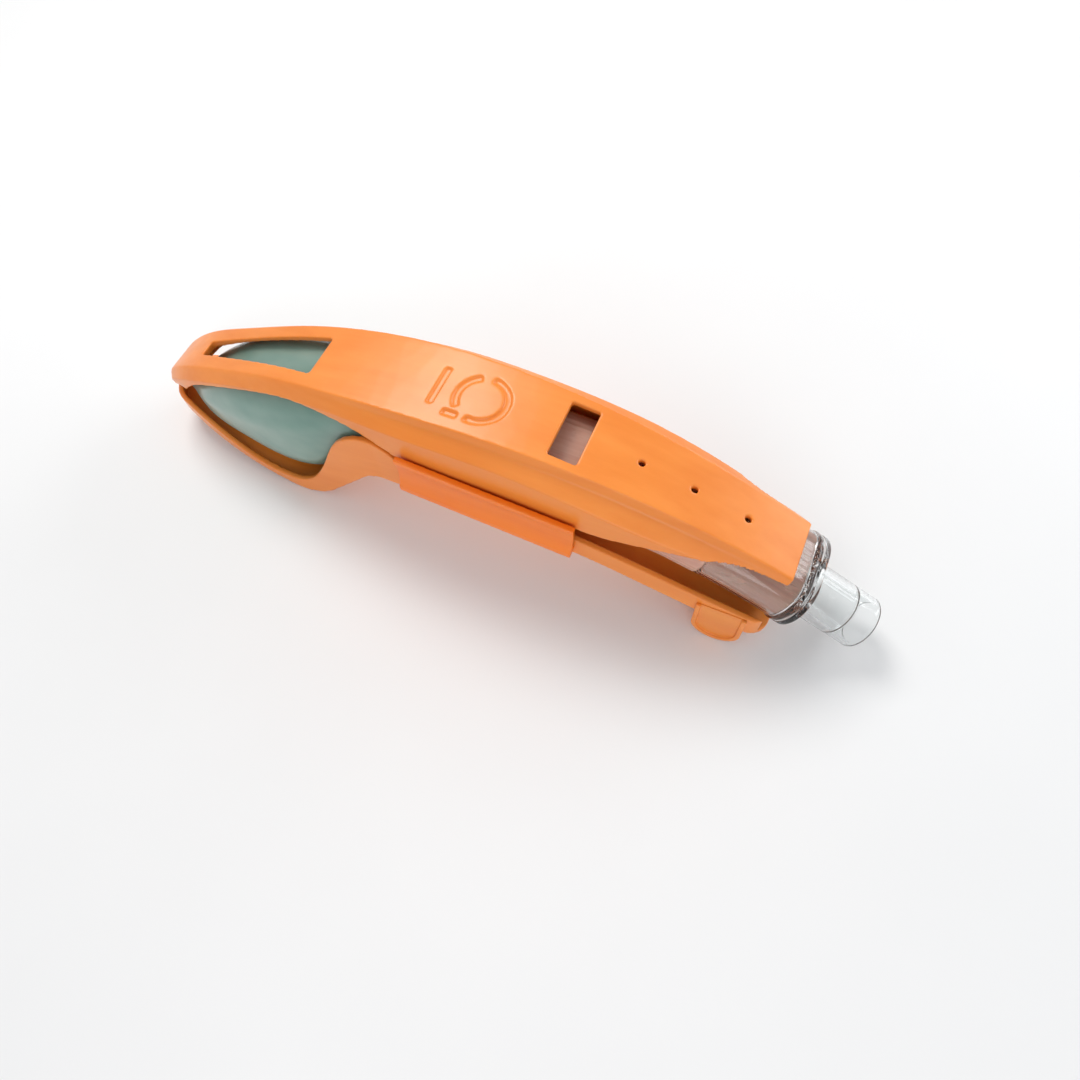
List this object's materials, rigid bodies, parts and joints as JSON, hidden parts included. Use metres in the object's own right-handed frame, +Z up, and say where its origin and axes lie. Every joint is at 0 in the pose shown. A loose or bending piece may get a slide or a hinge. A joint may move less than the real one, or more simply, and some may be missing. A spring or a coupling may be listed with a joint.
{
  "type": "supraglottic airway in hinged protective cradle",
  "caption": "Curved single-use gel-cuff airway with a bite block and a 15 mm tube connector, held in a long hinged polypropylene protective cradle with side clips and feet.",
  "frame": {"origin": "under the middle of the whole object, at the level of the surface it stands on", "axes": "+Z up, +X along the cradle from its hinged tip towards the open end of the connector, +Y towards the gastric channel's side"},
  "size_m": [0.2234, 0.037, 0.053],
  "materials": {
    "cradle_orange": "satin moulded polypropylene",
    "cuff_gel": "translucent soft gel elastomer",
    "tube_elastomer": "translucent soft elastomer",
    "clear_plastic": "clear glossy moulded plastic"
  },
  "bodies": {
    "cradle": {"cradle_base": "cradle_orange", "side_clip_left": "cradle_orange", "side_clip_right": "cradle_orange", "foot_left": "cradle_orange", "foot_right": "cradle_orange", "tip_hinge": "cradle_orange"},
    "lid": {"cradle_lid": "cradle_orange"},
    "airway": {"gel_cuff": "cuff_gel", "airway_tube": "tube_elastomer", "gastric_channel": "tube_elastomer", "bite_block": "clear_plastic", "connector_15mm": "clear_plastic"}
  },
  "joints": [
    {"name": "lid_hinge", "type": "hinge", "parent": "cradle", "child": "lid", "pos_m": [-0.11057, 0, 0.0125], "axis": [0, -1, 0], "range_deg": [0, 100], "deforming": ["tip_hinge"]},
    {"name": "airway_lift", "type": "hinge", "parent": "cradle", "child": "airway", "pos_m": [-0.11057, 0, 0.0125], "axis": [0, -1, 0], "range_deg": [0, 50]}
  ],
  "couplings": [
    {"joint": "airway_lift", "follows": "lid_hinge", "ratio": 0.5}
  ]
}
